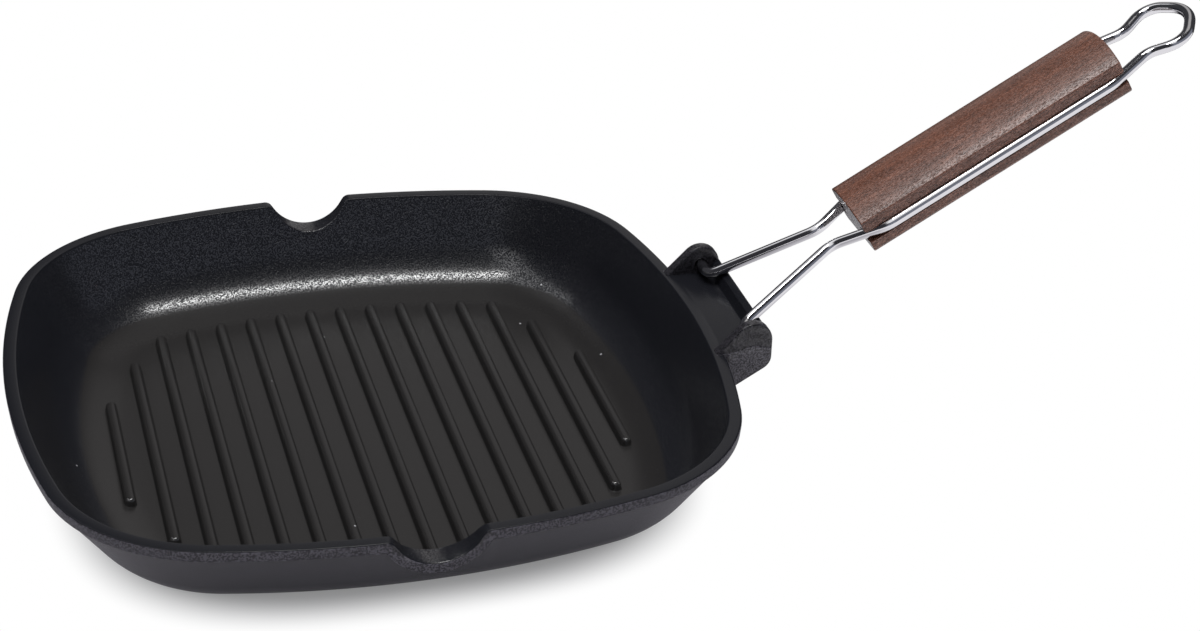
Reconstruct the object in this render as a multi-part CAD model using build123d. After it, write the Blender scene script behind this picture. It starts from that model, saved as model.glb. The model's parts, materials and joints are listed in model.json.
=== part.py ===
from build123d import *
import math
import os

# Tray outline, seen from above: four bowed sides and four round corners.
PAN_WIDTH = 280.0
SIDE_RADIUS = 346.0
CORNER_RADIUS = 70.0

# Tray section, from the rim down to the base.
PAN_HEIGHT = 40.5
FLOOR_THICKNESS = 3.5
RIM_WIDTH = 5.2
RIM_BAND = 4.2
RIM_DRAFT = 6.0
RIM_STEP = 1.3
RIM_ROUND = 0.9
OUTER_SLOPE = 35.0
INNER_SLOPE = 27.0
BASE_FILLET = 34.0
FLOOR_FILLET = 34.0
PLATE_INSET = 50.0

# Pour spouts: a round-bottomed dip in the middle of the two sides across Y, with a collar below it.
SPOUT_DEPTH = 11.4
SPOUT_RADIUS = 17.5
SPOUT_FLANK = 57.0
SPOUT_SHOULDER = 3.5
COLLAR_SPREAD = 25.0
COLLAR_DEPTH = 16.0

# Ribs on the cooking floor, all along Y.
RIB_COUNT = 16
RIB_SIDE_MARGIN = 41.75
RIB_HEIGHT = 3.5
RIB_TOP_WIDTH = 3.7
RIB_DRAFT = 10.5
RIB_ROUND = 1.0
RIB_END_MARGIN = 41.0
RIB_END_SAG = 9.2
SHORT_RIB_MARGINS = (101.4, 70.8)
RIB_ROOT = 0.5

# Hinge of the handle: an axis along Y just outside the rim, above the shelf.
HINGE_REACH = 9.6
HINGE_HEIGHT = 3.9
HANDLE_TILT = 30.0

# Bracket: a shelf level with the rim, two ears with gussets below them, and a lip that stops the handle.
EAR_GAP = 64.8
EAR_THICKNESS = 4.7
EAR_RADIUS = 8.0
EAR_FOOT_INSET = 5.8
EAR_ROUND = 0.9
EAR_BLEND = 5.5
EAR_BLEND_SINK = 0.3
GUSSET_DROP = 10.9
GUSSET_SLOPE = 30.0
GUSSET_ROUND = 6.0
GUSSET_RUN = 41.0
SHELF_THICKNESS = 4.2
LIP_GAP = 3.4
LIP_LEAN = 23.0
LIP_ROUND = 0.5
REST_CLEARANCE = 0.2

# Handle wire, drawn in the handle's own plane as distances from the hinge and half widths.
WIRE_DIAMETER = 4.5
PIN_PLAY = 0.1
PIN_ENTRY = 2.9
PIN_END_GAP = 0.6
PIN_BEND = 6.0
ROOT_INSET = 10.0
NECK_REACH = 48.0
NECK_HALF_WIDTH = 7.4
NECK_BEND = 12.0
STRAND_HALF_WIDTH = 17.0
STRAND_START = 71.0
STRAND_START_BEND = 16.0
STRAND_LENGTH = 106.5
STRAND_END_BEND = 14.0
WAIST_STEP = 19.8
WAIST_HALF_WIDTH = 10.9
WAIST_BEND = 9.0
LOOP_SHOULDER_STEP = 14.8
LOOP_SHOULDER_HALF_WIDTH = 18.7
LOOP_SHOULDER_BEND = 9.2
LOOP_TIP_STEP = 9.3
LOOP_TIP_HALF_WIDTH = 4.5
LOOP_TIP_BEND = 14.8

# Wooden grip: a crowned block with a slot along each side for the wire.
GRIP_START_INSET = 9.3
GRIP_END_OVERRUN = 7.7
GRIP_DOME = 1.0
GRIP_BELOW = 5.5
GRIP_BOTTOM_ROUND = 2.5
GRIP_FACET = 4.7
GRIP_CROWN_RADIUS = 34.0
GRIP_SEAT_GAP = 0.3
GRIP_SLOT_PLAY = 0.55
GRIP_WEB = 20.8
GRIP_ROUND = 0.6

# Places that follow from the sizes above.
pan_half = PAN_WIDTH / 2
side_centre = SIDE_RADIUS - pan_half
centre_gap = SIDE_RADIUS - CORNER_RADIUS
corner_centre = (math.sqrt(2 * centre_gap**2 - side_centre**2) - side_centre) / 2
side_angle = math.degrees(math.atan2(corner_centre, corner_centre + side_centre))
band_bottom = PAN_HEIGHT - RIM_BAND
flank = math.radians(SPOUT_FLANK)
spout_centre = PAN_HEIGHT - SPOUT_DEPTH + SPOUT_RADIUS
hinge_x = pan_half + HINGE_REACH
hinge_z = PAN_HEIGHT + HINGE_HEIGHT
ear_inner = EAR_GAP / 2
ear_outer = ear_inner + EAR_THICKNESS
wire_radius = WIRE_DIAMETER / 2
bracket_front = hinge_x + EAR_RADIUS
tilt = math.radians(HANDLE_TILT)
handle_plane = Plane(
    origin=(hinge_x, 0, hinge_z),
    x_dir=(math.cos(tilt), 0, math.sin(tilt)),
    z_dir=(-math.sin(tilt), 0, math.cos(tilt)),
)
strand_end = STRAND_START + STRAND_LENGTH
blend_y = ear_outer + EAR_BLEND - EAR_BLEND_SINK
blend_x = math.sqrt((SIDE_RADIUS + EAR_BLEND) ** 2 - blend_y**2) - side_centre
blend_angle = math.degrees(math.asin(blend_y / (SIDE_RADIUS + EAR_BLEND)))
clear_above = 40.0


def drift(height, angle):
    """How far a sloping line moves sideways over a height."""
    return height * math.tan(math.radians(angle))


def outer_inset(height):
    """Inset of the wall's sloping outside below the rim band."""
    return RIM_STEP + drift(band_bottom - height, OUTER_SLOPE)


def inner_inset(height):
    """Inset of the wall's sloping inside."""
    return RIM_WIDTH + drift(PAN_HEIGHT - height, INNER_SLOPE)


def rounded_square(inset, height):
    """The tray's outline, drawn in by inset, as a face at a height."""
    side = CenterArc((-side_centre, 0), SIDE_RADIUS - inset, -side_angle, 2 * side_angle)
    corner = CenterArc(
        (corner_centre, corner_centre),
        CORNER_RADIUS - inset,
        side_angle,
        90 - 2 * side_angle,
    )
    arcs = [Rot(0, 0, 90 * turn) * arc for turn in range(4) for arc in (side, corner)]
    return Pos(0, 0, height) * make_face(Wire(arcs))


def slab(face, low_y, high_y):
    """A face drawn as (x, z) in the XY plane, stood up and extruded from one Y to the other."""
    return Pos(0, high_y, 0) * extrude(Plane.XZ * face, amount=high_y - low_y)


def round_corners(face, corners, radius):
    """The face with the corners nearest to the given points rounded."""
    for corner in corners:
        nearest = face.vertices().sort_by_distance(Vector(*corner))[0]
        face = fillet(nearest, radius)
    return face


def wall_section(top_corners):
    """The tray's wall in section as (inset, z), with the given corners of its rim rounded."""
    base_corner = (outer_inset(0), 0)
    floor_corner = (inner_inset(FLOOR_THICKNESS), FLOOR_THICKNESS)
    outline = Polyline(
        (0, PAN_HEIGHT),
        (drift(RIM_BAND, RIM_DRAFT), band_bottom),
        (RIM_STEP, band_bottom),
        base_corner,
        (PLATE_INSET, 0),
        (PLATE_INSET, FLOOR_THICKNESS),
        floor_corner,
        (RIM_WIDTH, PAN_HEIGHT),
        close=True,
    )
    face = round_corners(make_face(outline), [base_corner], BASE_FILLET)
    face = round_corners(face, [floor_corner], FLOOR_FILLET)
    return round_corners(face, top_corners, RIM_ROUND)


def turned(section, centre, radius, start, size):
    """A stretch of wall: a section turned about the centre of one arc of the outline."""
    stood = Plane.XZ * Pos(radius, 0) * mirror(section, Plane.YZ)
    return Pos(*centre) * Rot(0, 0, start) * revolve(stood, Axis.Z, size)


def ring_form():
    """The tray's wall all round: soft-edged but for the stretch where the bracket joins it."""
    outer, inner = (0, PAN_HEIGHT), (RIM_WIDTH, PAN_HEIGHT)
    soft = wall_section([outer, inner])
    joined = wall_section([inner])
    side = turned(soft, (-side_centre, 0), SIDE_RADIUS, -side_angle, 2 * side_angle)
    corner_point = (corner_centre, corner_centre)
    corner = turned(soft, corner_point, CORNER_RADIUS, side_angle, 90 - 2 * side_angle)
    end_size = side_angle - blend_angle
    joint = turned(joined, (-side_centre, 0), SIDE_RADIUS, -blend_angle, 2 * blend_angle)
    end = turned(soft, (-side_centre, 0), SIDE_RADIUS, blend_angle, end_size)
    sides = [Rot(0, 0, 90 * turn) * side for turn in (1, 2, 3)]
    corners = [Rot(0, 0, 90 * turn) * corner for turn in range(4)]
    return joint + [end, mirror(end, Plane.XZ)] + sides + corners


def dip_face():
    """The pour spout's dip seen along Y: round bottom, straight flanks and round shoulders."""
    bottom = CenterArc((0, spout_centre), SPOUT_RADIUS, -90 - SPOUT_FLANK, 2 * SPOUT_FLANK)
    turns = SPOUT_RADIUS + SPOUT_SHOULDER
    climb = SPOUT_DEPTH - turns * (1 - math.cos(flank))
    shoulder_x = turns * math.sin(flank) + climb / math.tan(flank)
    shoulder_z = PAN_HEIGHT - SPOUT_SHOULDER
    right = CenterArc((shoulder_x, shoulder_z), SPOUT_SHOULDER, 90, SPOUT_FLANK)
    left = CenterArc((-shoulder_x, shoulder_z), SPOUT_SHOULDER, 90 - SPOUT_FLANK, SPOUT_FLANK)
    top = PAN_HEIGHT + clear_above
    frame = Polyline(right @ 0, (shoulder_x, top), (-shoulder_x, top), left @ 1)
    flanks = [Line(bottom @ 1, right @ 1), Line(left @ 0, bottom @ 0)]
    return make_face([bottom, flanks[0], right, frame, left, flanks[1]])


def collar_form():
    """The collar that carries the rim band on below the dip on the +Y side."""
    radius = SPOUT_RADIUS + RIM_BAND
    point = radius / math.cos(flank) - radius + SPOUT_DEPTH + RIM_BAND
    top = PAN_HEIGHT - RIM_BAND / 2
    half = (point - RIM_BAND / 2) / math.tan(flank)
    valley = FilletPolyline((-half, top), (0, PAN_HEIGHT - point), (half, top), radius=radius)
    face = make_face([valley, Line(valley @ 1, valley @ 0)])
    swell = Pos(0, pan_half, 0) * extrude(Plane.XZ * face, amount=COLLAR_DEPTH, taper=-COLLAR_SPREAD)
    low = PAN_HEIGHT - point
    section = Polyline(
        (drift(PAN_HEIGHT - top, RIM_DRAFT), top),
        (drift(PAN_HEIGHT - low, RIM_DRAFT), low),
        ((outer_inset(low) + inner_inset(low)) / 2, low),
        ((outer_inset(top) + inner_inset(top)) / 2, top),
        close=True,
    )
    block = turned(make_face(section), (-side_centre, 0), SIDE_RADIUS, -side_angle, 2 * side_angle)
    return (Rot(0, 0, 90) * block) & swell


def rib_half_length(rib):
    """Half the length of one rib, counted from the nearer side of the floor."""
    if rib < len(SHORT_RIB_MARGINS):
        return pan_half - SHORT_RIB_MARGINS[rib]
    middle = (RIB_COUNT - 1) / 2
    share = (middle - rib) / (middle - len(SHORT_RIB_MARGINS))
    return pan_half - RIB_END_MARGIN - RIB_END_SAG * share**2


def ribs_form():
    """Sixteen ribs with drafted sides, round ends and soft tops, rooted in the floor."""
    root_spread = RIB_ROOT + RIB_HEIGHT
    width = RIB_TOP_WIDTH + 2 * root_spread * math.tan(math.radians(RIB_DRAFT))
    span = PAN_WIDTH - 2 * RIB_SIDE_MARGIN
    pitch = span / (RIB_COUNT - 1)
    ribs = []
    for number in range(RIB_COUNT):
        half = rib_half_length(min(number, RIB_COUNT - 1 - number))
        outline = Rot(0, 0, 90) * SlotOverall(2 * half, width)
        rib = extrude(outline, amount=root_spread, taper=RIB_DRAFT)
        rib = fillet(rib.edges().group_by(Axis.Z)[-1], RIB_ROUND)
        place = Pos(number * pitch - span / 2, 0, FLOOR_THICKNESS - RIB_ROOT)
        ribs.append(place * rib)
    return ribs


def tray_form():
    """The tray: wall, floor plate, the two collars and the two dips cut through them."""
    plate = extrude(rounded_square(PLATE_INSET, 0), amount=FLOOR_THICKNESS)
    collar = collar_form()
    inside_wall = pan_half - inner_inset(FLOOR_THICKNESS)
    dip = slab(dip_face(), inside_wall, pan_half + RIM_WIDTH)
    tray = ring_form() + plate + collar + Rot(0, 0, 180) * collar
    return tray - dip - Rot(0, 0, 180) * dip


def ear_face():
    """One ear and its gusset seen along Y."""
    foot = Vector(pan_half - EAR_FOOT_INSET, PAN_HEIGHT)
    centre = Vector(hinge_x, hinge_z)
    across = centre - foot
    lift = math.atan2(across.Y, across.X) + math.asin(EAR_RADIUS / across.length)
    touch = centre + Vector(-math.sin(lift), math.cos(lift)) * EAR_RADIUS
    corner_z = hinge_z - GUSSET_DROP
    toe_x = bracket_front - GUSSET_RUN
    toe_z = corner_z - GUSSET_RUN * math.tan(math.radians(GUSSET_SLOPE))
    front = FilletPolyline(
        (bracket_front, hinge_z),
        (bracket_front, corner_z),
        (toe_x, toe_z),
        radius=GUSSET_ROUND,
    )
    top = Line((foot.X, foot.Y), (touch.X, touch.Y))
    crown = CenterArc((hinge_x, hinge_z), EAR_RADIUS, 0, 90 + math.degrees(lift))
    back = Polyline(front @ 1, (foot.X, band_bottom), (foot.X, foot.Y))
    return make_face([front, back, top, crown])


def ear_form():
    """The ear on the +Y side with its gusset."""
    ear = slab(ear_face(), ear_inner, ear_outer)
    sides = ear.faces().sort_by(Axis.Y)
    soft = [edge for face in (sides[0], sides[-1]) for edge in face.edges().sort_by(Axis.X)[2:]]
    return fillet(soft, EAR_ROUND)


def blend_form():
    """The hollow curve that leads the rim band's outside into the +Y ear's outer face."""
    section = Polyline(
        (0, PAN_HEIGHT),
        (drift(RIM_BAND, RIM_DRAFT), band_bottom),
        (RIM_WIDTH / 2, band_bottom),
        (RIM_WIDTH / 2, PAN_HEIGHT),
        close=True,
    )
    face = round_corners(make_face(section), [(0, PAN_HEIGHT)], RIM_ROUND)
    stood = Plane.XZ * Pos(EAR_BLEND, 0) * face
    start = 180 + blend_angle
    return Pos(blend_x, blend_y) * Rot(0, 0, start) * revolve(stood, Axis.Z, 270 - start)


def shelf_face():
    """The shelf and the stop lip seen along Y; the lip's top lies along the resting wire."""
    lean = math.tan(math.radians(LIP_LEAN))
    rise = math.tan(tilt)
    drop = (wire_radius + REST_CLEARANCE) / math.cos(tilt)
    wire_z = hinge_z - drop
    base_x = hinge_x + LIP_GAP
    foot_gap = LIP_GAP - lean * (PAN_HEIGHT - wire_z)
    top_z = wire_z + foot_gap * rise / (1 - lean * rise)
    top_x = base_x + lean * (top_z - PAN_HEIGHT)
    front_z = wire_z + EAR_RADIUS * rise
    root_x = pan_half - RIM_WIDTH / 2
    bottom_z = PAN_HEIGHT - SHELF_THICKNESS
    outline = Polyline(
        (root_x, PAN_HEIGHT),
        (base_x, PAN_HEIGHT),
        (top_x, top_z),
        (bracket_front, front_z),
        (bracket_front, bottom_z),
        (root_x, bottom_z),
        close=True,
    )
    return make_face(outline)


def pan_form():
    """The whole casting: tray, ribs, shelf, lip and ears with blind holes for the wire's ends."""
    shelf = slab(shelf_face(), -ear_inner - EAR_ROUND, ear_inner + EAR_ROUND)
    lip_edges = shelf.edges().filter_by(Axis.Y).group_by(Axis.Z)
    shelf = fillet(lip_edges[-1] + lip_edges[-2], LIP_ROUND)
    depth = PIN_ENTRY + PIN_END_GAP
    hole = Pos(hinge_x, ear_inner + depth, hinge_z) * Rot(90, 0, 0) * Cylinder(
        wire_radius + PIN_PLAY, depth, align=(Align.CENTER, Align.CENTER, Align.MIN)
    )
    side = ear_form() + blend_form() - hole
    return tray_form() + shelf + side + mirror(side, Plane.XZ) + ribs_form()


def wire_form():
    """One wire from blind hole to blind hole, round the loop, in the handle's plane."""
    waist = strand_end + WAIST_STEP
    shoulder = waist + LOOP_SHOULDER_STEP
    tip = shoulder + LOOP_TIP_STEP
    corners = [
        (0, ear_inner - ROOT_INSET, PIN_BEND),
        (NECK_REACH, NECK_HALF_WIDTH, NECK_BEND),
        (STRAND_START, STRAND_HALF_WIDTH, STRAND_START_BEND),
        (strand_end, STRAND_HALF_WIDTH, STRAND_END_BEND),
        (waist, WAIST_HALF_WIDTH, WAIST_BEND),
        (shoulder, LOOP_SHOULDER_HALF_WIDTH, LOOP_SHOULDER_BEND),
        (tip, LOOP_TIP_HALF_WIDTH, LOOP_TIP_BEND),
    ]
    points = [(0, ear_inner + PIN_ENTRY)] + [(reach, half) for reach, half, bend in corners]
    points = points + [(reach, -half) for reach, half in reversed(points)]
    bends = [bend for reach, half, bend in corners]
    path = handle_plane * FilletPolyline(*points, radius=bends + bends[::-1])
    section = Plane(origin=path @ 0, z_dir=path % 0) * Circle(wire_radius)
    return sweep(section, path)


def grip_form():
    """The wooden block between the strands: crowned above, slotted along both sides."""
    start = STRAND_START - GRIP_START_INSET
    end = strand_end + GRIP_END_OVERRUN
    half = STRAND_HALF_WIDTH
    seat = wire_radius + GRIP_SEAT_GAP
    slot_floor = -wire_radius - GRIP_SLOT_PLAY - GRIP_SEAT_GAP
    shoulder = seat + GRIP_FACET
    crown = shoulder + GRIP_CROWN_RADIUS - math.sqrt(GRIP_CROWN_RADIUS**2 - half**2)
    bottom = slot_floor - GRIP_BELOW
    start_point = handle_plane.from_local_coords(Vector(start, 0, 0))
    section = Plane(start_point, handle_plane.y_dir, handle_plane.x_dir)
    sides = FilletPolyline(
        (-half, shoulder), (-half, bottom), (half, bottom), (half, shoulder), radius=GRIP_BOTTOM_ROUND
    )
    top = ThreePointArc((half, shoulder), (0, crown), (-half, shoulder))
    block = extrude(section * make_face([sides, top]), amount=end - start)
    dome_radius = (half**2 + GRIP_DOME**2) / (2 * GRIP_DOME)
    dome = Cylinder(dome_radius, 2 * (crown - bottom))
    block = block & (handle_plane * Pos(end - dome_radius, 0, 0) * dome)
    block = fillet(block.edges(), GRIP_ROUND)
    slot_width = half - GRIP_WEB / 2
    slot = Box(end, slot_width, seat - slot_floor, align=(Align.MIN, Align.MAX, Align.MIN))
    for mirrored in (Pos(start / 2, half, slot_floor), Pos(start / 2, slot_width - half, slot_floor)):
        block = block - handle_plane * mirrored * slot
    return block


def build():
    """Makes every piece and writes one file for each."""
    os.makedirs("parts", exist_ok=True)
    pieces = {
        "pan_body": pan_form(),
        "handle_wire": wire_form(),
        "handle_grip": grip_form(),
    }
    for name, piece in pieces.items():
        export_step(piece, f"parts/{name}.step")
        print(name, round(piece.volume), piece.is_valid, len(piece.solids()))


build()
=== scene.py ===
import json
import math

import bmesh
import bpy
from mathutils import Matrix, Vector


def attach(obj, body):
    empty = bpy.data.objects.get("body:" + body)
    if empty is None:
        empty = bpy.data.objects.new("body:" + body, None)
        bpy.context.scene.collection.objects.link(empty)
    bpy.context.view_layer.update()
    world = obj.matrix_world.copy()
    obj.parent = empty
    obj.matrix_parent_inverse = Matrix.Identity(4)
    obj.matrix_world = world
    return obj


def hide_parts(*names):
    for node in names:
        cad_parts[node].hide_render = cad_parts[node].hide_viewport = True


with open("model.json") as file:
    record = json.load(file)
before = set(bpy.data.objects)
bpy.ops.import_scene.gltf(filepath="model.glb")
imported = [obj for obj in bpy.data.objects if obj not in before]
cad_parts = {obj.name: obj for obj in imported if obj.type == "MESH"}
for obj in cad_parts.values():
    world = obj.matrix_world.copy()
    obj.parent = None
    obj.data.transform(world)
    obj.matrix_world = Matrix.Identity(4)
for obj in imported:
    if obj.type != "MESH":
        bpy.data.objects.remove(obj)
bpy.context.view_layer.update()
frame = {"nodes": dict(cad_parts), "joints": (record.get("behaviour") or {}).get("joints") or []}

MM = 0.001

# Tray, as the solid has it: outline, wall section and rim.
SIDE_RADIUS = 346 * MM
CORNER_RADIUS = 70 * MM
PAN_HALF = 140 * MM
PAN_HEIGHT = 40.5 * MM
FLOOR = 3.5 * MM
RIM_WIDTH = 5.2 * MM
RIM_BAND = 4.2 * MM
RIM_STEP = 1.3 * MM
RIM_ROUND = 0.9 * MM
BAND_EDGE_ROUND = 0.4 * MM
RIM_DRAFT = 6
OUTER_SLOPE = 35
INNER_SLOPE = 27
WALL_FILLET = 34 * MM
PLATE_INSET = 50 * MM

# Pour spouts in the two sides across Y.
SPOUT_DEPTH = 11.4 * MM
SPOUT_RADIUS = 17.5 * MM
SPOUT_FLANK = 57
SPOUT_SHOULDER = 3.5 * MM
COLLAR_SPREAD = 25

# Ribs on the cooking floor.
RIB_COUNT = 16
RIB_SIDE_MARGIN = 41.75 * MM
RIB_HEIGHT = 3.5 * MM
RIB_TOP_WIDTH = 3.7 * MM
RIB_DRAFT = 10.5
RIB_ROUND = 1.6 * MM
RIB_FOOT_ROUND = 0.4 * MM
RIB_END_MARGIN = 41 * MM
RIB_END_SAG = 9.2 * MM
SHORT_RIB_MARGINS = (101.4 * MM, 70.8 * MM)
RIB_SUNK = 0.4 * MM
RIB_SKIRT = 1.6 * MM
RIB_TIP_START = 0.16 * MM

# Bracket: two ears with gussets, the shelf between them and the stop lip.
EAR_INNER = 32.4 * MM
EAR_THICKNESS = 4.7 * MM
EAR_RADIUS = 8 * MM
EAR_FOOT_INSET = 5.8 * MM
EAR_ROUND = 0.9 * MM
EAR_BLEND = 5.5 * MM
EAR_BLEND_SINK = 0.3 * MM
GUSSET_DROP = 10.9 * MM
GUSSET_SLOPE = 30
GUSSET_ROUND = 6 * MM
GUSSET_RUN = 41 * MM
SHELF_THICKNESS = 4.2 * MM
LIP_GAP = 3.4 * MM
LIP_LEAN = 23
LIP_ROUND = 0.5 * MM
REST_CLEARANCE = 0.2 * MM
LEDGE_THICKNESS = 0.45 * MM
LEDGE_RISE = 2.2 * MM
LEDGE_CREST = 6 * MM
COVER_SINK = 0.02 * MM
WIRE_RADIUS = 2.25 * MM
HOLE_RADIUS = 2.35 * MM
HOLE_DEPTH = 3.5 * MM
HANDLE_TILT = math.radians(30)

# Steps that divide the round stretches, and the length of one across a spout.
SIDE_STEPS = 26
CORNER_STEPS = 26
FILLET_STEPS = 14
RIM_STEPS = 6
EDGE_STEPS = 3
RIB_EDGE_STEPS = 5
RIB_CAP_STEPS = 14
CROWN_STEPS = 26
GUSSET_STEPS = 8
LIP_STEPS = 4
BEVEL_STEPS = 4
HOLE_STEPS = 32
LEDGE_STEPS = 20
SPOUT_STEP = 0.5 * MM

# Angles in degrees above which an edge is shaded sharp, and above which it is softened.
SHARP_ANGLE = 32
SOFTENED_ANGLE = 40

# Places that follow from the sizes and from the frame's hinge.
hinge_x, _, hinge_z = frame["joints"][0]["pos_m"]
side_centre = SIDE_RADIUS - PAN_HALF
centre_gap = SIDE_RADIUS - CORNER_RADIUS
corner_centre = (math.sqrt(2 * centre_gap**2 - side_centre**2) - side_centre) / 2
side_angle = math.atan2(corner_centre, corner_centre + side_centre)
band_bottom = PAN_HEIGHT - RIM_BAND
foot_half = PAN_HALF - RIM_STEP - band_bottom * math.tan(math.radians(OUTER_SLOPE))
flank = math.radians(SPOUT_FLANK)
shoulder_reach = SPOUT_RADIUS + SPOUT_SHOULDER
shoulder_climb = SPOUT_DEPTH - shoulder_reach * (1 - math.cos(flank))
shoulder_x = shoulder_reach * math.sin(flank) + shoulder_climb / math.tan(flank)
ear_outer = EAR_INNER + EAR_THICKNESS
bracket_front = hinge_x + EAR_RADIUS


def drift(height, angle):
    """How far a sloping line moves sideways over a height."""
    return height * math.tan(math.radians(angle))


def outer_inset(height):
    """Inset of the wall's outside below the rim band."""
    return RIM_STEP + drift(band_bottom - height, OUTER_SLOPE)


def inner_inset(height):
    """Inset of the wall's inside."""
    return RIM_WIDTH + drift(PAN_HEIGHT - height, INNER_SLOPE)


def arc(centre, radius, start, end, steps):
    """Points along an arc, its angles in radians."""
    return [
        Vector(centre) + radius * Vector((math.cos(angle), math.sin(angle)))
        for angle in (start + (end - start) * step / steps for step in range(steps + 1))
    ]


def rounded(corners):
    """Straight runs between corners (x, y, radius, steps), each corner with steps turned by an arc."""
    path = []
    for number, (x, y, radius, steps) in enumerate(corners):
        corner = Vector((x, y))
        if not steps:
            path.append(corner)
            continue
        before = (Vector(corners[number - 1][:2]) - corner).normalized()
        after = (Vector(corners[(number + 1) % len(corners)][:2]) - corner).normalized()
        half = before.angle(after) / 2
        centre = corner + (before + after).normalized() * (radius / math.sin(half))
        first = corner + before * (radius / math.tan(half)) - centre
        last = corner + after * (radius / math.tan(half)) - centre
        start = math.atan2(first.y, first.x)
        turn = math.remainder(math.atan2(last.y, last.x) - start, 2 * math.pi)
        path += arc(centre, radius, start, start + turn, steps)
    return path


def skin(shape, rings):
    """Faces between closed rings of equally many points; returns the rings' corners."""
    corners = [[shape.verts.new(point) for point in ring] for ring in rings]
    for ring, after in zip(corners, corners[1:]):
        for place, corner in enumerate(ring):
            beside = (place + 1) % len(ring)
            shape.faces.new((corner, ring[beside], after[beside], after[place]))
    return corners


def as_object(name, shape):
    """The built mesh as an object, shaded smooth but at its sharp edges."""
    bmesh.ops.recalc_face_normals(shape, faces=shape.faces)
    mesh = bpy.data.meshes.new(name)
    shape.to_mesh(mesh)
    shape.free()
    mesh.polygons.foreach_set("use_smooth", [True] * len(mesh.polygons))
    mesh.set_sharp_from_angle(angle=math.radians(SHARP_ANGLE))
    made = bpy.data.objects.new(name, mesh)
    bpy.context.scene.collection.objects.link(made)
    return made


def work_in(obj):
    """Works the object's modifiers into its mesh."""
    bpy.context.view_layer.update()
    evaluated = obj.evaluated_get(bpy.context.evaluated_depsgraph_get())
    mesh = bpy.data.meshes.new_from_object(evaluated)
    obj.modifiers.clear()
    obj.data = mesh


def valley(across, lowest, radius):
    """Height of a round-bottomed valley with straight flanks, at a distance from its middle."""
    across = abs(across)
    turn = min(across, radius * math.sin(flank))
    rise = radius - math.sqrt(radius**2 - turn**2)
    return lowest + rise + (across - turn) * math.tan(flank)


def rim_height(across):
    """Height of the rim at a distance from a spout's middle."""
    back = shoulder_x - abs(across)
    if back <= 0:
        return PAN_HEIGHT
    if back < SPOUT_SHOULDER * math.sin(flank):
        return PAN_HEIGHT - SPOUT_SHOULDER + math.sqrt(SPOUT_SHOULDER**2 - back**2)
    return valley(across, PAN_HEIGHT - SPOUT_DEPTH, SPOUT_RADIUS)


def band_height(across):
    """Height of the rim band's lower edge at a distance from a spout's middle."""
    low = PAN_HEIGHT - SPOUT_DEPTH - RIM_BAND
    return min(band_bottom, valley(across, low, SPOUT_RADIUS + RIM_BAND))


def wall_section(top, edge):
    """The tray's wall as (inset, z), from the floor plate over the rim to the base."""
    spread = math.tan(math.radians(COLLAR_SPREAD))
    slope = math.tan(math.radians(OUTER_SLOPE))
    edge_inset = drift(PAN_HEIGHT - edge, RIM_DRAFT)
    depth = (outer_inset(edge) - edge_inset) / (1 - spread * slope)
    return rounded([
        (PLATE_INSET, FLOOR, 0, 0),
        (inner_inset(FLOOR), FLOOR, WALL_FILLET, FILLET_STEPS),
        (inner_inset(top), top, RIM_ROUND, RIM_STEPS),
        (drift(PAN_HEIGHT - top, RIM_DRAFT), top, RIM_ROUND, RIM_STEPS),
        (edge_inset, edge, BAND_EDGE_ROUND, EDGE_STEPS),
        (edge_inset + depth, edge - depth * spread, BAND_EDGE_ROUND, EDGE_STEPS),
        (outer_inset(0), 0, WALL_FILLET, FILLET_STEPS),
        (PLATE_INSET, 0, 0, 0),
    ])


# Places in the wall's section: where the rim turns outward, and where the speckled band begins.
outer_edge = 1 + (FILLET_STEPS + 1) + (RIM_STEPS + 1)
band_start = outer_edge + RIM_STEPS // 2


def side_places(has_spout):
    """Distances from the middle of one side at which the wall's sections stand."""
    end = SIDE_RADIUS * math.sin(side_angle)
    coarse = [end * (2 * step / SIDE_STEPS - 1) for step in range(SIDE_STEPS)]
    if not has_spout:
        return coarse
    reach = shoulder_x + SPOUT_STEP
    fine_count = round(2 * reach / SPOUT_STEP)
    fine = [reach * (2 * step / fine_count - 1) for step in range(fine_count + 1)]
    return sorted([place for place in coarse if abs(place) > reach + SPOUT_STEP] + fine)


def wall_stations():
    """Each station round the outline: arc centre, radius, angle, and distance from a spout's middle."""
    stations = []
    for quarter in range(4):
        turn = quarter * math.pi / 2
        has_spout = quarter % 2 == 1
        away = Vector((-side_centre, 0))
        away.rotate(Matrix.Rotation(turn, 2))
        for place in side_places(has_spout):
            angle = math.asin(place / SIDE_RADIUS) + turn
            stations.append((away, SIDE_RADIUS, angle, place if has_spout else SIDE_RADIUS))
        middle = Vector((corner_centre, corner_centre))
        middle.rotate(Matrix.Rotation(turn, 2))
        swing = math.pi / 2 - 2 * side_angle
        for step in range(CORNER_STEPS):
            angle = turn + side_angle + swing * step / CORNER_STEPS
            stations.append((middle, CORNER_RADIUS, angle, SIDE_RADIUS))
    return stations


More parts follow.
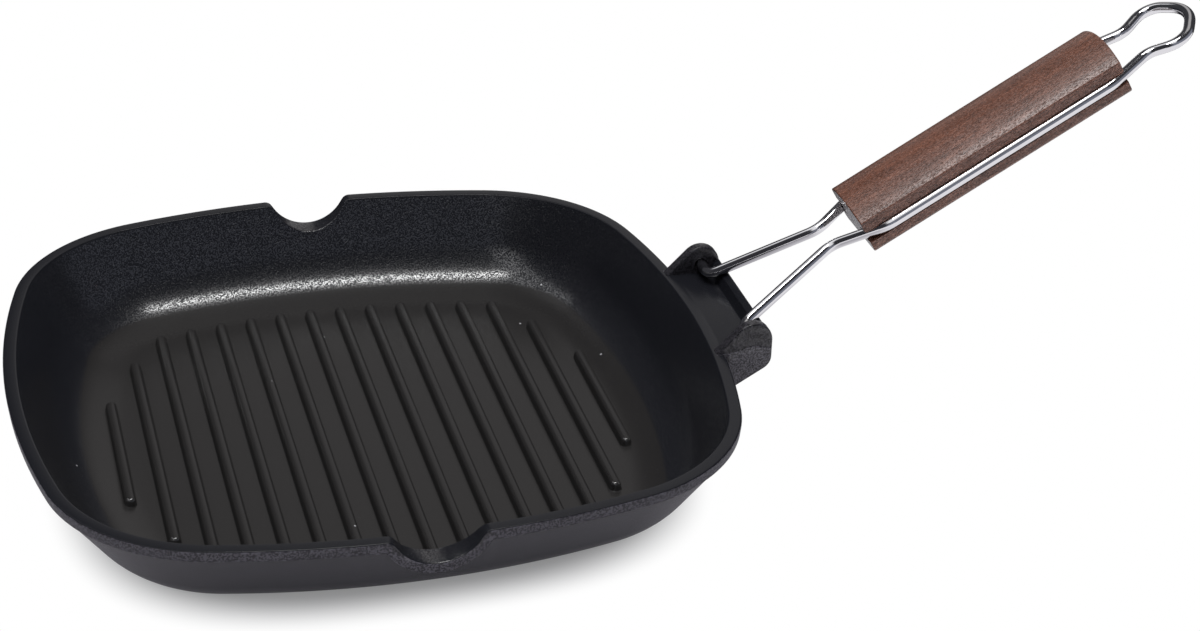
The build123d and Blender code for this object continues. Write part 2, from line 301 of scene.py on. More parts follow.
def tray():
    """The tray as one closed skin: wall sections all round, floor plate and base."""
    shape = bmesh.new()
    depth_layer = shape.verts.layers.float.new("below_band")
    rings = []
    depths = []
    for centre, radius, angle, across in wall_stations():
        section = wall_section(rim_height(across), band_height(across))
        outward = Vector((math.cos(angle), math.sin(angle)))
        edge = band_height(across)
        ring = []
        for place, (inset, z) in enumerate(section):
            x, y = centre + outward * (radius - inset)
            ring.append((x, y, z))
            depths.append(edge - z if place >= outer_edge else RIM_BAND)
        rings.append(ring)
    corners = [[shape.verts.new(point) for point in ring] for ring in rings]
    for corner, depth in zip((corner for ring in corners for corner in ring), depths):
        corner[depth_layer] = depth
    for ring, after in zip(corners, corners[1:] + corners[:1]):
        for place in range(len(ring) - 1):
            face = shape.faces.new((ring[place], ring[place + 1], after[place + 1], after[place]))
            face.material_index = int(place >= band_start)
    shape.faces.new([ring[0] for ring in corners])
    shape.faces.new([ring[-1] for ring in reversed(corners)]).material_index = 1
    return as_object("pan_casting", shape)


def rib_half_length(rib):
    """Half the length of one rib, counted from the nearer side of the floor."""
    if rib < len(SHORT_RIB_MARGINS):
        return PAN_HALF - SHORT_RIB_MARGINS[rib]
    middle = (RIB_COUNT - 1) / 2
    share = (middle - rib) / (middle - len(SHORT_RIB_MARGINS))
    return PAN_HALF - RIB_END_MARGIN - RIB_END_SAG * share**2


def rib(x, half_length):
    """One rib: drafted sides, round ends, soft top edges and a hollow curve at its foot.

    Its round ends are marked in rib_tip, for the coat that glints there.
    """
    half_top = RIB_TOP_WIDTH / 2
    half_foot = half_top + drift(RIB_HEIGHT, RIB_DRAFT)
    profile = rounded([
        (half_foot + RIB_SKIRT, -RIB_SUNK, 0, 0),
        (half_foot, 0, RIB_FOOT_ROUND, RIB_EDGE_STEPS),
        (half_top, RIB_HEIGHT, RIB_ROUND, RIB_EDGE_STEPS),
        (0, RIB_HEIGHT, 0, 0),
    ])
    end = half_length - half_foot
    rings = []
    for spread, z in profile[:-1]:
        far = arc((x, end), spread, 0, math.pi, RIB_CAP_STEPS)
        near = arc((x, -end), spread, math.pi, 2 * math.pi, RIB_CAP_STEPS)
        rings.append([(p.x, p.y, FLOOR + z) for p in far + near])
    shape = bmesh.new()
    corners = skin(shape, rings)
    shape.faces.new(corners[0][::-1])
    shape.faces.new(corners[-1])
    made = as_object("rib", shape)
    tip = made.data.attributes.new("rib_tip", "FLOAT", "POINT")
    tip_y = end + RIB_TIP_START
    marks = [float(abs(vertex.co.y) > tip_y) for vertex in made.data.vertices]
    tip.data.foreach_set("value", marks)
    return made


def prism(name, outline, low_y, high_y, bevel_width):
    """An outline in (x, z) carried from one Y to the other, with its edges softened."""
    shape = bmesh.new()
    rings = [[(p.x, y, p.y) for p in outline] for y in (low_y, high_y)]
    corners = skin(shape, rings)
    shape.faces.new(corners[0])
    shape.faces.new(corners[1][::-1])
    made = as_object(name, shape)
    bevel = made.modifiers.new("soft_edges", "BEVEL")
    bevel.width = bevel_width
    bevel.segments = BEVEL_STEPS
    bevel.limit_method = "ANGLE"
    bevel.angle_limit = math.radians(SOFTENED_ANGLE)
    return made


def gusset_edge(inset):
    """The gusset's sloping lower edge and its front, as (x, z), from the toe up to the hinge."""
    corner_z = hinge_z - GUSSET_DROP + inset
    toe_z = corner_z - drift(GUSSET_RUN, GUSSET_SLOPE)
    return rounded([
        (bracket_front - GUSSET_RUN, toe_z, 0, 0),
        (bracket_front - inset, corner_z, GUSSET_ROUND, GUSSET_STEPS),
        (bracket_front - inset, hinge_z, 0, 0),
    ])


def ear_outline():
    """One ear and its gusset seen along Y, as (x, z)."""
    foot = Vector((PAN_HALF - EAR_FOOT_INSET, PAN_HEIGHT))
    centre = Vector((hinge_x, hinge_z))
    across = centre - foot
    lift = math.atan2(across.y, across.x) + math.asin(EAR_RADIUS / across.length)
    crown = arc(centre, EAR_RADIUS, 0, math.pi / 2 + lift, CROWN_STEPS)
    return gusset_edge(0)[:-1] + crown + [foot, Vector((foot.x, band_bottom))]


def ear(side):
    """The ear on one side, with the blind hole for the wire's end in its inner face."""
    low, high = sorted((side * EAR_INNER, side * ear_outer))
    made = prism("ear", ear_outline(), low, high, EAR_ROUND)
    drill = bmesh.new()
    circle = arc((hinge_x, hinge_z), HOLE_RADIUS, 0, 2 * math.pi, HOLE_STEPS)[:-1]
    rings = [
        [(p.x, y, p.y) for p in circle]
        for y in (side * (EAR_INNER - HOLE_DEPTH), side * (EAR_INNER + HOLE_DEPTH))
    ]
    corners = skin(drill, rings)
    drill.faces.new(corners[0])
    drill.faces.new(corners[1][::-1])
    hole = as_object("hole", drill)
    cut = made.modifiers.new("hole", "BOOLEAN")
    cut.object = hole
    cut.operation = "DIFFERENCE"
    cut.solver = "EXACT"
    made.modifiers.move(1, 0)
    work_in(made)
    bpy.data.objects.remove(hole)
    return made


def ear_ledge(side):
    """The thicker lower part of the ear's outer face, its upper edge a shallow curve at rim height."""
    edge = gusset_edge(EAR_ROUND)[:-1]
    foot_x = PAN_HALF - EAR_FOOT_INSET
    run = foot_x - edge[-1].x
    crest = []
    for step in range(LEDGE_STEPS + 1):
        x = edge[-1].x + run * step / LEDGE_STEPS
        rise = LEDGE_RISE * math.exp(-(((x - hinge_x) / LEDGE_CREST) ** 2))
        crest.append(Vector((x, PAN_HEIGHT + rise)))
    outline = edge + crest + [Vector((foot_x, band_bottom))]
    low, high = sorted((side * (ear_outer - EAR_ROUND), side * (ear_outer + LEDGE_THICKNESS)))
    return prism("ear_ledge", outline, low, high, LEDGE_THICKNESS / 2)


def ear_blend(side):
    """The hollow curve that leads the rim band into the ear's outer face."""
    blend_y = ear_outer + EAR_BLEND - EAR_BLEND_SINK
    blend_x = math.sqrt((SIDE_RADIUS + EAR_BLEND) ** 2 - blend_y**2) - side_centre
    start = math.pi + math.asin(blend_y / (SIDE_RADIUS + EAR_BLEND))
    top = PAN_HEIGHT - COVER_SINK
    section = rounded([
        (RIM_WIDTH / 2, band_bottom, 0, 0),
        (RIM_WIDTH / 2, top, 0, 0),
        (0, top, RIM_ROUND, RIM_STEPS),
        (drift(RIM_BAND, RIM_DRAFT), band_bottom, BAND_EDGE_ROUND, EDGE_STEPS),
    ])
    rings = []
    for place in arc((0, 0), 1, start, 1.5 * math.pi, FILLET_STEPS):
        rings.append([
            (
                blend_x + place.x * (EAR_BLEND + inset),
                side * (blend_y + place.y * (EAR_BLEND + inset)),
                z,
            )
            for inset, z in section
        ])
    shape = bmesh.new()
    corners = skin(shape, rings)
    shape.faces.new(corners[0])
    shape.faces.new(corners[-1][::-1])
    return as_object("ear_blend", shape)


def shelf():
    """The shelf level with the rim and the stop lip, whose top lies along the resting wire."""
    lean = math.tan(math.radians(LIP_LEAN))
    rise = math.tan(HANDLE_TILT)
    wire_z = hinge_z - (WIRE_RADIUS + REST_CLEARANCE) / math.cos(HANDLE_TILT)
    base_x = hinge_x + LIP_GAP
    foot_gap = LIP_GAP - lean * (PAN_HEIGHT - wire_z)
    top_z = wire_z + foot_gap * rise / (1 - lean * rise)
    root_x = PAN_HALF - RIM_WIDTH / 2
    bottom_z = PAN_HEIGHT - SHELF_THICKNESS
    outline = rounded([
        (root_x, PAN_HEIGHT - COVER_SINK, 0, 0),
        (base_x, PAN_HEIGHT - COVER_SINK, LIP_ROUND, LIP_STEPS),
        (base_x + lean * (top_z - PAN_HEIGHT), top_z, LIP_ROUND, LIP_STEPS),
        (bracket_front, wire_z + EAR_RADIUS * rise, LIP_ROUND, LIP_STEPS),
        (bracket_front, bottom_z, LIP_ROUND, LIP_STEPS),
        (root_x, bottom_z, 0, 0),
    ])
    end = EAR_INNER + EAR_ROUND
    return prism("shelf", outline, -end, end, LIP_ROUND / 2)


class Level:
    """One output of a node; arithmetic on it adds Math nodes."""

    def __init__(self, nodes, socket):
        self.nodes = nodes
        self.socket = socket

    def maths(self, operation, *values):
        """A Math node on the values."""
        return self.nodes.node("ShaderNodeMath", {"operation": operation}, dict(enumerate(values)))

    def __add__(self, other):
        return self.maths("ADD", self, other)

    def __sub__(self, other):
        return self.maths("SUBTRACT", self, other)

    def __rsub__(self, other):
        return self.maths("SUBTRACT", other, self)

    def __mul__(self, other):
        return self.maths("MULTIPLY", self, other)

    def __truediv__(self, other):
        return self.maths("DIVIDE", self, other)

    def __pow__(self, other):
        return self.maths("POWER", self, other)

    __radd__ = __add__
    __rmul__ = __mul__

    def above(self, edge, softness):
        """0 well below the edge and 1 well above it, changing over the softness."""
        limits = {"Value": self, "From Min": edge - softness / 2, "From Max": edge + softness / 2}
        return self.nodes.node("ShaderNodeMapRange", {"interpolation_type": "SMOOTHSTEP"}, limits)

    def size(self):
        """The value without its sign."""
        return self.maths("ABSOLUTE", self)

    def either(self, other):
        """The larger of the two."""
        return self.maths("MAXIMUM", self, other)


class Nodes:
    """The nodes of one material or of the surround."""

    def __init__(self, tree):
        self.tree = tree

    def node(self, kind, settings=None, sockets=None, out=0):
        """A node with its settings made first, then its sockets' values or links."""
        made = self.tree.nodes.new(kind)
        for setting, value in (settings or {}).items():
            if setting == "stops":
                self.set_stops(made.color_ramp, value)
            else:
                setattr(made, setting, value)
        for socket, value in (sockets or {}).items():
            self.feed(made.inputs[socket], value)
        return Level(self, made.outputs[out] if made.outputs else None)

    def set_stops(self, ramp, stops):
        """Gives a colour ramp its stops, each a position and a colour."""
        while len(ramp.elements) < len(stops):
            ramp.elements.new(1)
        for element, (position, colour) in zip(ramp.elements, stops):
            element.position = position
            element.color = (*colour, 1)

    def feed(self, socket, value):
        """Links a level to a socket, or sets the socket's own value."""
        if isinstance(value, Level):
            self.tree.links.new(value.socket, socket)
        elif socket.type == "RGBA":
            socket.default_value = (*value, 1)
        else:
            socket.default_value = value

    def mix(self, factor, first, second):
        """The first colour at factor 0, the second at 1."""
        sockets = {0: factor, 6: first, 7: second}
        return self.node("ShaderNodeMix", {"data_type": "RGBA"}, sockets, out=2)

    def axes(self, vector):
        """The three parts of a vector."""
        return [self.node("ShaderNodeSeparateXYZ", {}, {0: vector}, part) for part in range(3)]


class Finish(Nodes):
    """A material for one of the pan's surfaces."""

    def __init__(self, name):
        self.material = bpy.data.materials.new(name)
        self.material.use_nodes = True
        super().__init__(self.material.node_tree)
        self.shader = self.tree.nodes["Principled BSDF"]
        self.place = self.node("ShaderNodeTexCoord", out="Object")

    def noise(self, size, detail, place=None):
        """Noise whose features are about size across."""
        sockets = {"Vector": place or self.place, "Scale": 1 / size, "Detail": detail}
        return self.node("ShaderNodeTexNoise", {}, sockets)

    def mark(self, name):
        """A number kept in the mesh, point by point."""
        return self.node("ShaderNodeAttribute", {"attribute_name": name}, out="Fac")

    def bump(self, height, distance):
        """A relief whose full height is the distance."""
        sockets = {"Height": height, "Strength": 1.0, "Distance": distance}
        return self.node("ShaderNodeBump", {}, sockets)

    def set(self, **sockets):
        """Feeds the shader's own sockets, named with _ for each space."""
        for name, value in sockets.items():
            self.feed(self.shader.inputs[name.replace("_", " ")], value)
        return self.material


# Limits in the finishes and the surround are pairs: a level, and the softness of the change across it.

# Cooking coat: sizes of its features, their limits and relief, and tones from dark to light.
GRIT_SIZE = 0.55 * MM
GRIT_LIMIT = (0.56, 0.1)
SPARK_SIZE = 0.7 * MM
SPARK_LIMIT = (0.68, 0.25)
SPARK_RELIEF = 1.5
FINE_SIZE = 0.5 * MM
FINE_LIMIT = (0.5, 0.5)
FINE_RELIEF = 0.3
CLOUD_SIZE = 24 * MM
CLOUD_LIMIT = (0.5, 0.6)
CLOUD_SHARE = 0.4
GRITTY_FOOT = (FLOOR + RIB_HEIGHT + 1.3 * MM, 1.2 * MM)
GRITTY_TOP = (PAN_HEIGHT - 0.8 * MM, 0.6 * MM)
TIP_LIMIT = (0.7, 0.2)
TIP_TOP = (FLOOR + RIB_HEIGHT - 0.12 * MM, 0.08 * MM)
COOKING_RELIEF = 0.062 * MM
COOKING_ROUGHNESS = 0.2
FINE_ROUGHNESS = 0.1
COOKING_SPECULAR = 0.26
GLINT_ROUGHNESS = 0.18
GLINT_IOR = 2.0
FLAT_TONES = ((0.0108, 0.0101, 0.0100), (0.0170, 0.0160, 0.0158))
FLAT_CLOUD = (0.015, 0.0142, 0.0138)
# The walls' tones are darker and bluer than the flats': painted shade on the inner walls.
SHADED_WALL_TONES = ((0.0055, 0.0058, 0.0076), (0.0085, 0.0089, 0.0114))

# Bare metal flecks in the cooking coat: the share is how many cells of the pattern hold one.
FLECK_SPACING = 14 * MM
FLECK_RADIUS = 0.38 * MM
FLECK_SHARE = 0.5
FLECK_SOFTNESS = 0.01
FLECK_METALLIC = 0.5
BARE_METAL = (0.6, 0.6, 0.62)


def flecks(finish):
    """Bare metal flecks: a dot in some cells of a scattered pattern."""
    sockets = {"Vector": finish.place, "Scale": 1 / FLECK_SPACING}
    distance = finish.node("ShaderNodeTexVoronoi", {}, sockets, "Distance")
    chance = finish.node("ShaderNodeTexVoronoi", {}, sockets, "Color")
    pick = finish.node("ShaderNodeSeparateColor", {}, {0: chance}, "Red")
    radius = FLECK_RADIUS / FLECK_SPACING
    return (1 - distance.above(radius, radius)) * pick.above(1 - FLECK_SHARE, FLECK_SOFTNESS)


def cooking_coat():
    """The coat inside and on the rim: warm grey on the flats; up the walls glittering grit and darker,
    bluer tones of painted shade.
    """
    finish = Finish("cooking_coat")
    height = finish.axes(finish.place)[2]
    wall = height.above(*GRITTY_FOOT)
    gritty = wall * (1 - height.above(*GRITTY_TOP))
    grit = finish.noise(GRIT_SIZE, detail=0)
    sparks = finish.noise(SPARK_SIZE, detail=0).above(*SPARK_LIMIT)
    fine = finish.noise(FINE_SIZE, detail=2)
    clouds = finish.noise(CLOUD_SIZE, detail=2).above(*CLOUD_LIMIT)
    spots = fine.above(*FINE_LIMIT)
    flat_tone = finish.mix(clouds * CLOUD_SHARE, finish.mix(spots, *FLAT_TONES), FLAT_CLOUD)
    # Up the walls the tone turns to the darker, bluer painted shade.
    tone = finish.mix(wall, flat_tone, finish.mix(spots, *SHADED_WALL_TONES))
    grains = gritty * grit.above(*GRIT_LIMIT).either(sparks)
    tips = finish.mark("rib_tip").above(*TIP_LIMIT) * (1 - height.above(*TIP_TOP))
    fleck = flecks(finish)
    relief = gritty * (grit + sparks * SPARK_RELIEF) + fine * FINE_RELIEF
    return finish.set(
        Base_Color=finish.mix(fleck, tone, BARE_METAL),
        Roughness=COOKING_ROUGHNESS + fine * FINE_ROUGHNESS,
        Metallic=fleck * FLECK_METALLIC,
        Specular_IOR_Level=COOKING_SPECULAR,
        Coat_Weight=grains.either(tips),
        Coat_Roughness=GLINT_ROUGHNESS,
        Coat_IOR=GLINT_IOR,
        Normal=finish.bump(relief, COOKING_RELIEF),
    )


# Outer coat: sizes of its features, their limits and relief, and tones from dark to light.
NOISE_MIDDLE = 0.5
RAGGED_SIZE = 2.2 * MM
RAGGED_REACH = 1.6 * MM
RAGGED_RELIEF = 0.4
BAND_LIMIT = (-0.2 * MM, 0.3 * MM)
CAST_SIZE = 0.5 * MM
CAST_RELIEF = 0.25
SPECKLE_SIZE = 0.75 * MM
SPECKLE_LIMIT = (0.5, 0.12)
DASH_FOOT = (-0.9 * RIM_BAND, 0.08 * RIM_BAND)
DASH_LIMIT = (0.5, 0.1)
OUTER_RELIEF = 0.1 * MM
OUTER_ROUGHNESS = 0.26
SPECKLE_ROUGHNESS = 0.14
OUTER_SPECULAR = 0.25
LUG_SHEEN = 0.4
SHEEN_ROUGHNESS = 0.2
SMOOTH_TONES = ((0.014, 0.0134, 0.0166), (0.019, 0.0179, 0.0222))
BAND_TONES = ((0.019, 0.0178, 0.0215), (0.07, 0.0655, 0.079))
LUG_TONES = ((0.006, 0.0056, 0.0068), (0.028, 0.0262, 0.0315))
LEDGE_TONES = ((0.018, 0.0168, 0.02), (0.075, 0.07, 0.084))

# Values that below_band keeps on the bracket's lugs and ledges, and the limits between their tones.
LUG_MARK = -1.4 * RIM_BAND
LEDGE_MARK = -2 * RIM_BAND
LUG_LIMIT = ((LUG_MARK - RIM_BAND) / 2, 0.1 * MM)
LEDGE_LIMIT = ((LEDGE_MARK + LUG_MARK) / 2, 0.1 * MM)


def outer_coat():
    """The coat outside: smooth blue-grey below, and a speckled band with a ragged edge at the rim."""
    finish = Finish("outer_coat")
    depth = finish.mark("below_band")
    ragged = finish.noise(RAGGED_SIZE, detail=3)
    cast = finish.noise(CAST_SIZE, detail=3)
    speckle = finish.noise(SPECKLE_SIZE, detail=3)
    spots = speckle.above(*SPECKLE_LIMIT)
    band = 1 - (depth + (ragged - NOISE_MIDDLE) * RAGGED_REACH).above(*BAND_LIMIT)
    lug = 1 - depth.above(*LUG_LIMIT)
    ledge = 1 - depth.above(*LEDGE_LIMIT)
    dashes = (1 - depth.above(*DASH_FOOT)) * ragged.above(*DASH_LIMIT)
    speckled = finish.mix(lug, finish.mix(spots, *BAND_TONES), finish.mix(spots, *LUG_TONES))
    speckled = finish.mix(ledge, speckled, finish.mix(spots, *LEDGE_TONES))
    relief = cast * CAST_RELIEF + band * (speckle + ragged * RAGGED_RELIEF)
    return finish.set(
        Base_Color=finish.mix(band, finish.mix(cast, *SMOOTH_TONES), speckled),
        Roughness=OUTER_ROUGHNESS + band * speckle * SPECKLE_ROUGHNESS,
        Specular_IOR_Level=OUTER_SPECULAR,
        Coat_Weight=dashes.either(lug * LUG_SHEEN),
        Coat_Roughness=SHEEN_ROUGHNESS,
        Normal=finish.bump(relief, OUTER_RELIEF),
    )


# Chrome plate: sizes of its features, and tones from dark to light.
HAZE_SIZE = 6 * MM
DRAWN_SIZE = 1.6 * MM
CHROME_RELIEF = 0.001 * MM
CHROME_ROUGHNESS = 0.06
HAZE_ROUGHNESS = 0.04
CHROME_TONES = ((0.8, 0.795, 0.81), (0.88, 0.875, 0.885))


def chrome():
    """Bright chrome plate with the faintest drawing marks."""
    finish = Finish("bright_chrome")
    haze = finish.noise(HAZE_SIZE, detail=3)
    drawn = finish.noise(DRAWN_SIZE, detail=2)
    return finish.set(
        Base_Color=finish.mix(haze, *CHROME_TONES),
        Roughness=CHROME_ROUGHNESS + haze * HAZE_ROUGHNESS,
        Metallic=1.0,
        Normal=finish.bump(drawn, CHROME_RELIEF),
    )


# Grip wood. Each feature has its size across the grip, how many times longer it is, and its detail.
STREAKS = (2.4 * MM, 9, 5)
FIBRES = (0.5 * MM, 16, 3)
PORES = (0.42 * MM, 7, 2)
SHADES = (14 * MM, 3, 2)
MOTTLE = (0.62 * MM, 1.6, 1)
STREAK_SHARE = 0.3
FIBRE_SHARE = 0.2
SHADE_SHARE = 0.15
MOTTLE_SHARE = 0.35
PORE_LIMIT = (0.6, 0.1)
PORE_SHARE = 0.6
MATT_LIMIT = (0.5, 0.2)
OILED_LIMIT = (0.5, 0.15)
END_LIMIT = (0.9, 0.1)
WOOD_RELIEF = 0.12 * MM
FIBRE_RELIEF = 0.4
PORE_RELIEF = 0.3
WOOD_ROUGHNESS = 0.26
FIBRE_ROUGHNESS = 0.1
PORE_ROUGHNESS = 0.15
MATT_ROUGHNESS = 0.22
WOOD_SPECULAR = 0.5
OIL_SHEEN = 0.8
OIL_ROUGHNESS = 0.25
WOOD_STOPS = [
    (0.34, (0.046, 0.017, 0.0095)),
    (0.5, (0.115, 0.044, 0.026)),
    (0.66, (0.23, 0.092, 0.056)),
]
PORE_TONE = (0.035, 0.015, 0.010)
# End faces: mottled end grain in a pale lilac grey, a painted highlight.
END_GRAIN_HIGHLIGHT_TONES = ((0.17, 0.15, 0.15), (0.26, 0.24, 0.245))


def grip_wood():
    """Oiled dark hardwood: long grain along the grip, open pores, and end grain in a pale grey that is a
    painted highlight.
    """
    finish = Finish("grip_wood")
    along = (math.cos(HANDLE_TILT), 0, math.sin(HANDLE_TILT))
    upward = (-math.sin(HANDLE_TILT), 0, math.cos(HANDLE_TILT))

    def part(vector, way):
        sockets = {0: vector, 1: way}
        return finish.node("ShaderNodeVectorMath", {"operation": "DOT_PRODUCT"}, sockets, "Value")

    lengthwise, across, height = (part(finish.place, way) for way in (along, (0, 1, 0), upward))

    def grain(size, stretch, detail):
        sockets = {0: lengthwise / stretch, 1: across, 2: height}
        stretched = finish.node("ShaderNodeCombineXYZ", {}, sockets)
        return finish.noise(size, detail, stretched)

    streaks, fibres, pores, shades, mottle = (
        grain(*feature) for feature in (STREAKS, FIBRES, PORES, SHADES, MOTTLE)
    )
    pores = pores.above(*PORE_LIMIT)
    figure = streaks * STREAK_SHARE + fibres * FIBRE_SHARE + shades * SHADE_SHARE + mottle * MOTTLE_SHARE
    tone = finish.node("ShaderNodeValToRGB", {"stops": WOOD_STOPS}, {0: figure})
    ends = part(finish.node("ShaderNodeTexCoord", out="Normal"), along).size().above(*END_LIMIT)
    long_grain = finish.mix(pores * PORE_SHARE, tone, PORE_TONE)
    # The end faces are painted pale: end grain with a painted highlight.
    lit_end_grain = finish.mix(mottle, *END_GRAIN_HIGHLIGHT_TONES)
    matt = mottle.above(*MATT_LIMIT) * MATT_ROUGHNESS
    return finish.set(
        Base_Color=finish.mix(ends, long_grain, lit_end_grain),
        Roughness=WOOD_ROUGHNESS + fibres * FIBRE_ROUGHNESS + pores * PORE_ROUGHNESS + matt,
        Specular_IOR_Level=WOOD_SPECULAR,
        Coat_Weight=mottle.above(*OILED_LIMIT) * OIL_SHEEN,
        Coat_Roughness=OIL_ROUGHNESS,
        Normal=finish.bump(fibres * FIBRE_RELIEF - pores * PORE_RELIEF + mottle, WOOD_RELIEF),
    )


def pan(coats):
    """The whole casting in one mesh with its two coats: tray, ribs, ears, ledges, blends and shelf."""
    body = tray()
    span = 2 * (PAN_HALF - RIB_SIDE_MARGIN)
    ribs = []
    for number in range(RIB_COUNT):
        x = span * (number / (RIB_COUNT - 1) - 0.5)
        ribs.append(rib(x, rib_half_length(min(number, RIB_COUNT - 1 - number))))
    bracket = [shelf()] + [make(side) for side in (-1, 1) for make in (ear, ear_ledge, ear_blend)]
    for piece in bracket:
        work_in(piece)
        coat = int(piece is not bracket[0])
        piece.data.polygons.foreach_set("material_index", [coat] * len(piece.data.polygons))
        depth = piece.data.attributes.new("below_band", "FLOAT", "POINT")
        mark = LEDGE_MARK if "ledge" in piece.name else LUG_MARK
        depth.data.foreach_set("value", [mark] * len(piece.data.vertices))
    pieces = [body] + ribs + bracket
    for piece in pieces:
        for coat in coats:
            piece.data.materials.append(coat)
    with bpy.context.temp_override(active_object=body, selected_editable_objects=pieces):
        bpy.ops.object.join()
    body.data.polygons.foreach_set("use_smooth", [True] * len(body.data.polygons))
    body.data.set_sharp_from_angle(angle=math.radians(SHARP_ANGLE))
    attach(body, "pan")
    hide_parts("pan_body")


def dress(node, material):
    """The frame's own piece with its finish."""
    mesh = frame["nodes"][node].data
    mesh.materials.clear()
    mesh.materials.append(material)


pan((cooking_coat(), outer_coat()))
dress("handle_wire", chrome())
dress("handle_grip", grip_wood())

# Camera, from the photograph's perspective.
VIEW_AZIMUTH = math.radians(16.295)
VIEW_ELEVATION = math.radians(28.407)
VIEW_ROLL = math.radians(-1.691)
VIEW_PLACE = (-153.2 * MM, -853.8 * MM, 524.4 * MM)
LENS = 74.894
SENSOR_WIDTH = 36
CLIP_START = 0.01
CLIP_END = 50


def camera():
    """The camera at the photograph's angle."""
    lens = bpy.data.cameras.new("camera")
    lens.lens = LENS
    lens.sensor_width = SENSOR_WIDTH
    lens.clip_start = CLIP_START
    lens.clip_end = CLIP_END
    ahead = Vector((
        math.sin(VIEW_AZIMUTH) * math.cos(VIEW_ELEVATION),
        math.cos(VIEW_AZIMUTH) * math.cos(VIEW_ELEVATION),
        -math.sin(VIEW_ELEVATION),
    ))
    level = Vector((math.cos(VIEW_AZIMUTH), -math.sin(VIEW_AZIMUTH), 0))
    down = ahead.cross(level)
    right = math.cos(VIEW_ROLL) * level + math.sin(VIEW_ROLL) * down
    below = -math.sin(VIEW_ROLL) * level + math.cos(VIEW_ROLL) * down
    turned = Matrix((right, -below, -ahead)).transposed()
    made = bpy.data.objects.new("camera", lens)
    made.matrix_world = Matrix.Translation(VIEW_PLACE) @ turned.to_4x4()
    bpy.context.scene.collection.objects.link(made)
    bpy.context.scene.camera = made


# Lamp straight above the pan: its place, its size in metres and its power in watts.
LAMP_PLACE = (0.05, -0.015, 0.75)
LAMP_WIDTH = 0.34
LAMP_DEPTH = 0.12
LAMP_POWER = 1.35

# Floor: how far from the pan's foot its shadow ends, and the tones that the pan mirrors.
# Squareness shapes its distances from the middle: 2 would make them round.
FLOOR_HALF = 4
FLOOR_MATT = (0.92, 0.92, 0.92)
SHADOW_END = (6.5 * MM, 25 * MM)
SHADOW_GLOW = 0.22
SQUARENESS = 3
OPEN_FLOOR_START = (200 * MM, 160 * MM)
# As the pan mirrors it, the floor near the pan is dimmer: painted shade.
SHADED_NEAR_FLOOR = (0.3, 0.29, 0.32)
OPEN_FLOOR = (0.85, 0.84, 0.87)
BEHIND_START = (120 * MM, 120 * MM)
BEHIND_FLOOR = (0.02, 0.02, 0.025)

# Surround: the tones that the pan mirrors and the light it gets, by direction from -1 to 1.
WHITE = (1, 1, 1)
BACK_START = (0.0, 0.3)
BACK_DARK = (0.04, 0.04, 0.045)
BACK_LIT = (0.4, 0.39, 0.39)
LIT_LEFT = (0.05, 0.2)
LIT_RIGHT = (0.5, 0.2)
FRONT_TONE = (0.18, 0.19, 0.23)
FRONT_DARK = (0.03, 0.03, 0.035)
FRONT_LEFT = (-0.42, 0.25)
FRONT_TOP = (0.6, 0.3)
PANEL_TONE = (0.85, 0.85, 0.87)
PANEL_LEFT = (-0.56, 0.12)
PANEL_RIGHT = (-0.27, 0.08)
PANEL_FOOT = (0.62, 0.1)
ZENITH_START = (0.92, 0.08)
ZENITH_LIGHT = (6.0, 6.0, 6.0)
SIDE_LIGHT = (0.36, 0.37, 0.4)


def overhead_lamp():
    """A soft rectangular lamp that looks straight down."""
    light = bpy.data.lights.new("overhead", "AREA")
    light.shape = "RECTANGLE"
    light.size = LAMP_WIDTH
    light.size_y = LAMP_DEPTH
    light.energy = LAMP_POWER
    made = bpy.data.objects.new("overhead", light)
    made.location = LAMP_PLACE
    bpy.context.scene.collection.objects.link(made)


def shown_rays(nodes):
    """1 for the rays that show the surroundings themselves, 0 for those that light the pan."""
    camera_ray, glossy_ray, clear_ray = (
        nodes.node("ShaderNodeLightPath", out=f"Is {way} Ray")
        for way in ("Camera", "Glossy", "Transmission")
    )
    return camera_ray.either(glossy_ray).either(clear_ray), glossy_ray


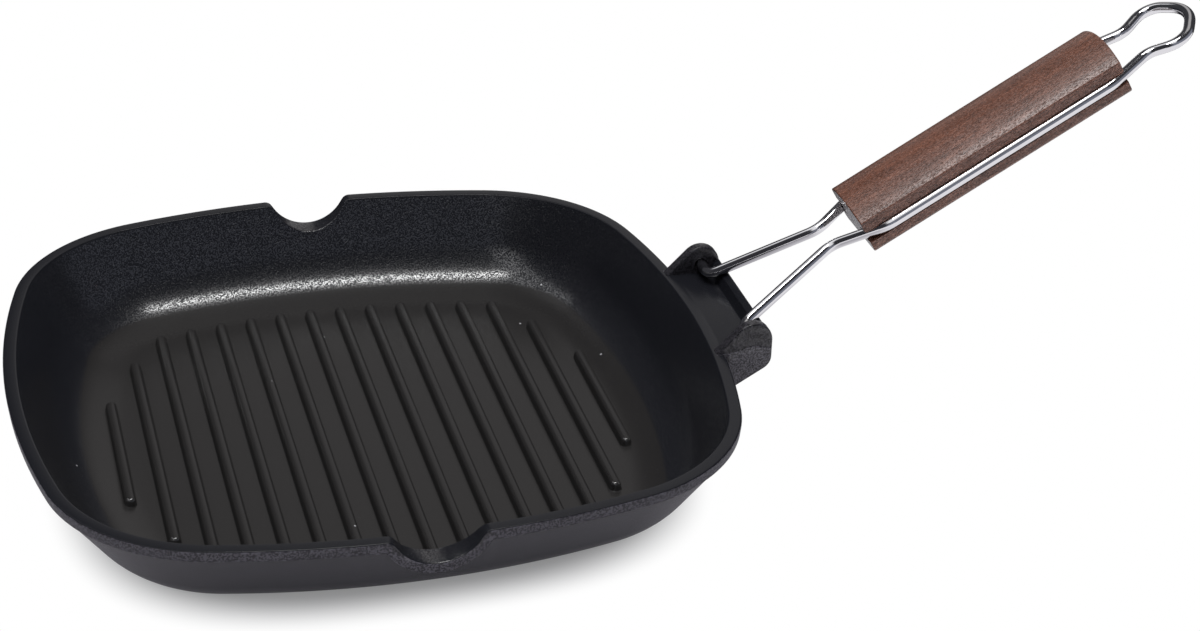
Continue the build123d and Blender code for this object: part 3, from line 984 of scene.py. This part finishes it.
def paper_floor():
    """A white floor: the pan's shadow stays close to its foot; mirrored, the floor is a dimmer painted
    shade near the pan and ends behind the pan.
    """
    shape = bmesh.new()
    bmesh.ops.create_grid(shape, x_segments=1, y_segments=1, size=FLOOR_HALF)
    floor = as_object("floor", shape)
    paper = Finish("white_paper")
    shown, mirrored = shown_rays(paper)
    x, y, _ = paper.axes(paper.place)
    reach = (x.size() ** SQUARENESS + y.size() ** SQUARENESS) ** (1 / SQUARENESS)
    # Mirrored, the floor near the pan takes the dimmer painted shade.
    around = paper.mix(reach.above(*OPEN_FLOOR_START), SHADED_NEAR_FLOOR, OPEN_FLOOR)
    mirror_tone = paper.mix(y.above(*BEHIND_START), around, BEHIND_FLOOR)
    colour = paper.mix(mirrored, WHITE, mirror_tone)
    glow = paper.node("ShaderNodeEmission", {}, {"Color": colour, "Strength": 1.0})
    matt = paper.node("ShaderNodeBsdfDiffuse", {}, {"Color": FLOOR_MATT})
    clear = (reach - foot_half).above(*SHADOW_END)
    share = shown * (SHADOW_GLOW + (1 - SHADOW_GLOW) * clear)
    cover = paper.node("ShaderNodeMixShader", {}, {0: share, 1: matt, 2: glow})
    paper.feed(paper.tree.nodes["Material Output"].inputs["Surface"], cover)
    floor.data.materials.append(paper.material)


def surround():
    """White to the camera; in reflections a half-lit back, a dim front and a panel at the upper left.

    The light that falls on the pan itself comes mostly from the zenith.
    """
    world = bpy.data.worlds.new("surround")
    world.use_nodes = True
    bpy.context.scene.world = world
    room = Nodes(world.node_tree)
    room.tree.nodes.clear()
    shown, mirrored = shown_rays(room)
    right, ahead, up = room.axes(room.node("ShaderNodeTexCoord", out="Generated"))
    lit = right.above(*LIT_LEFT) * (1 - right.above(*LIT_RIGHT))
    back = room.mix(lit, BACK_DARK, BACK_LIT)
    front = room.mix(up.above(*FRONT_TOP), FRONT_TONE, FRONT_DARK)
    front = room.mix(right.above(*FRONT_LEFT), FRONT_DARK, front)
    reflected = room.mix(ahead.above(*BACK_START), front, back)
    panel = (1 - right.above(*PANEL_RIGHT)) * right.above(*PANEL_LEFT) * up.above(*PANEL_FOOT)
    reflected = room.mix(panel, reflected, PANEL_TONE)
    seen = room.mix(mirrored, WHITE, reflected)
    light = room.mix(up.above(*ZENITH_START), SIDE_LIGHT, ZENITH_LIGHT)
    colour = room.mix(shown, light, seen)
    glow = room.node("ShaderNodeBackground", {}, {"Color": colour, "Strength": 1.0})
    room.node("ShaderNodeOutputWorld", {}, {"Surface": glow})


camera()
paper_floor()
surround()
overhead_lamp()
bpy.context.scene.view_settings.view_transform = "Standard"
